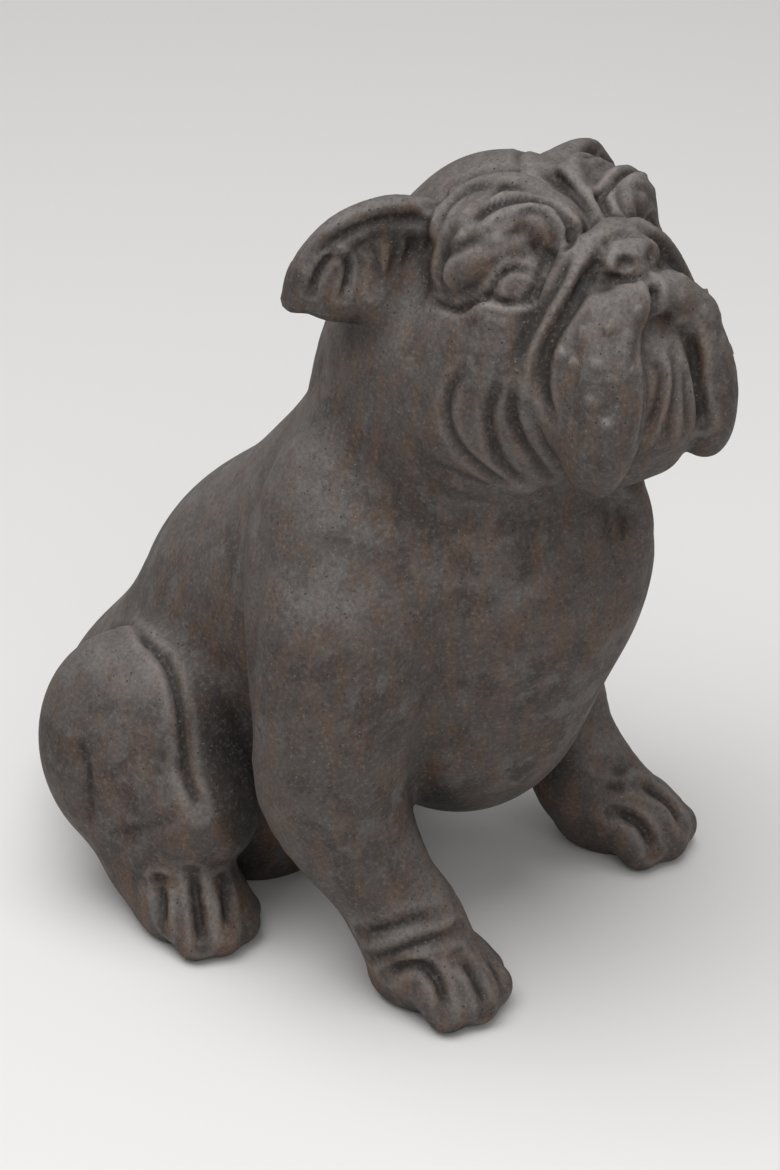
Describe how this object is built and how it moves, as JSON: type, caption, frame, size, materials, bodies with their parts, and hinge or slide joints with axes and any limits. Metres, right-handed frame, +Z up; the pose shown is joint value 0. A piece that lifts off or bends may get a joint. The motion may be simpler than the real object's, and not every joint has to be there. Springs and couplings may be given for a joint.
{
  "type": "dog statue",
  "caption": "Cast garden statue of a bulldog sitting upright, head turned and raised, with loose facial folds and small folded ears.",
  "frame": {"origin": "on the floor under the middle of the statue's bounding box", "axes": "+Z up, -Y the way the dog's body faces, +X to the dog's left"},
  "size_m": [0.2826, 0.4244, 0.457],
  "materials": {
    "cast_stone": "cast fibre cement with a worn dark brown-grey coat: greyer on the rubbed high places, rusty brown in the hollows, matt with fine pits"
  },
  "bodies": {
    "root": {"bulldog": "cast_stone"}
  },
  "joints": []
}
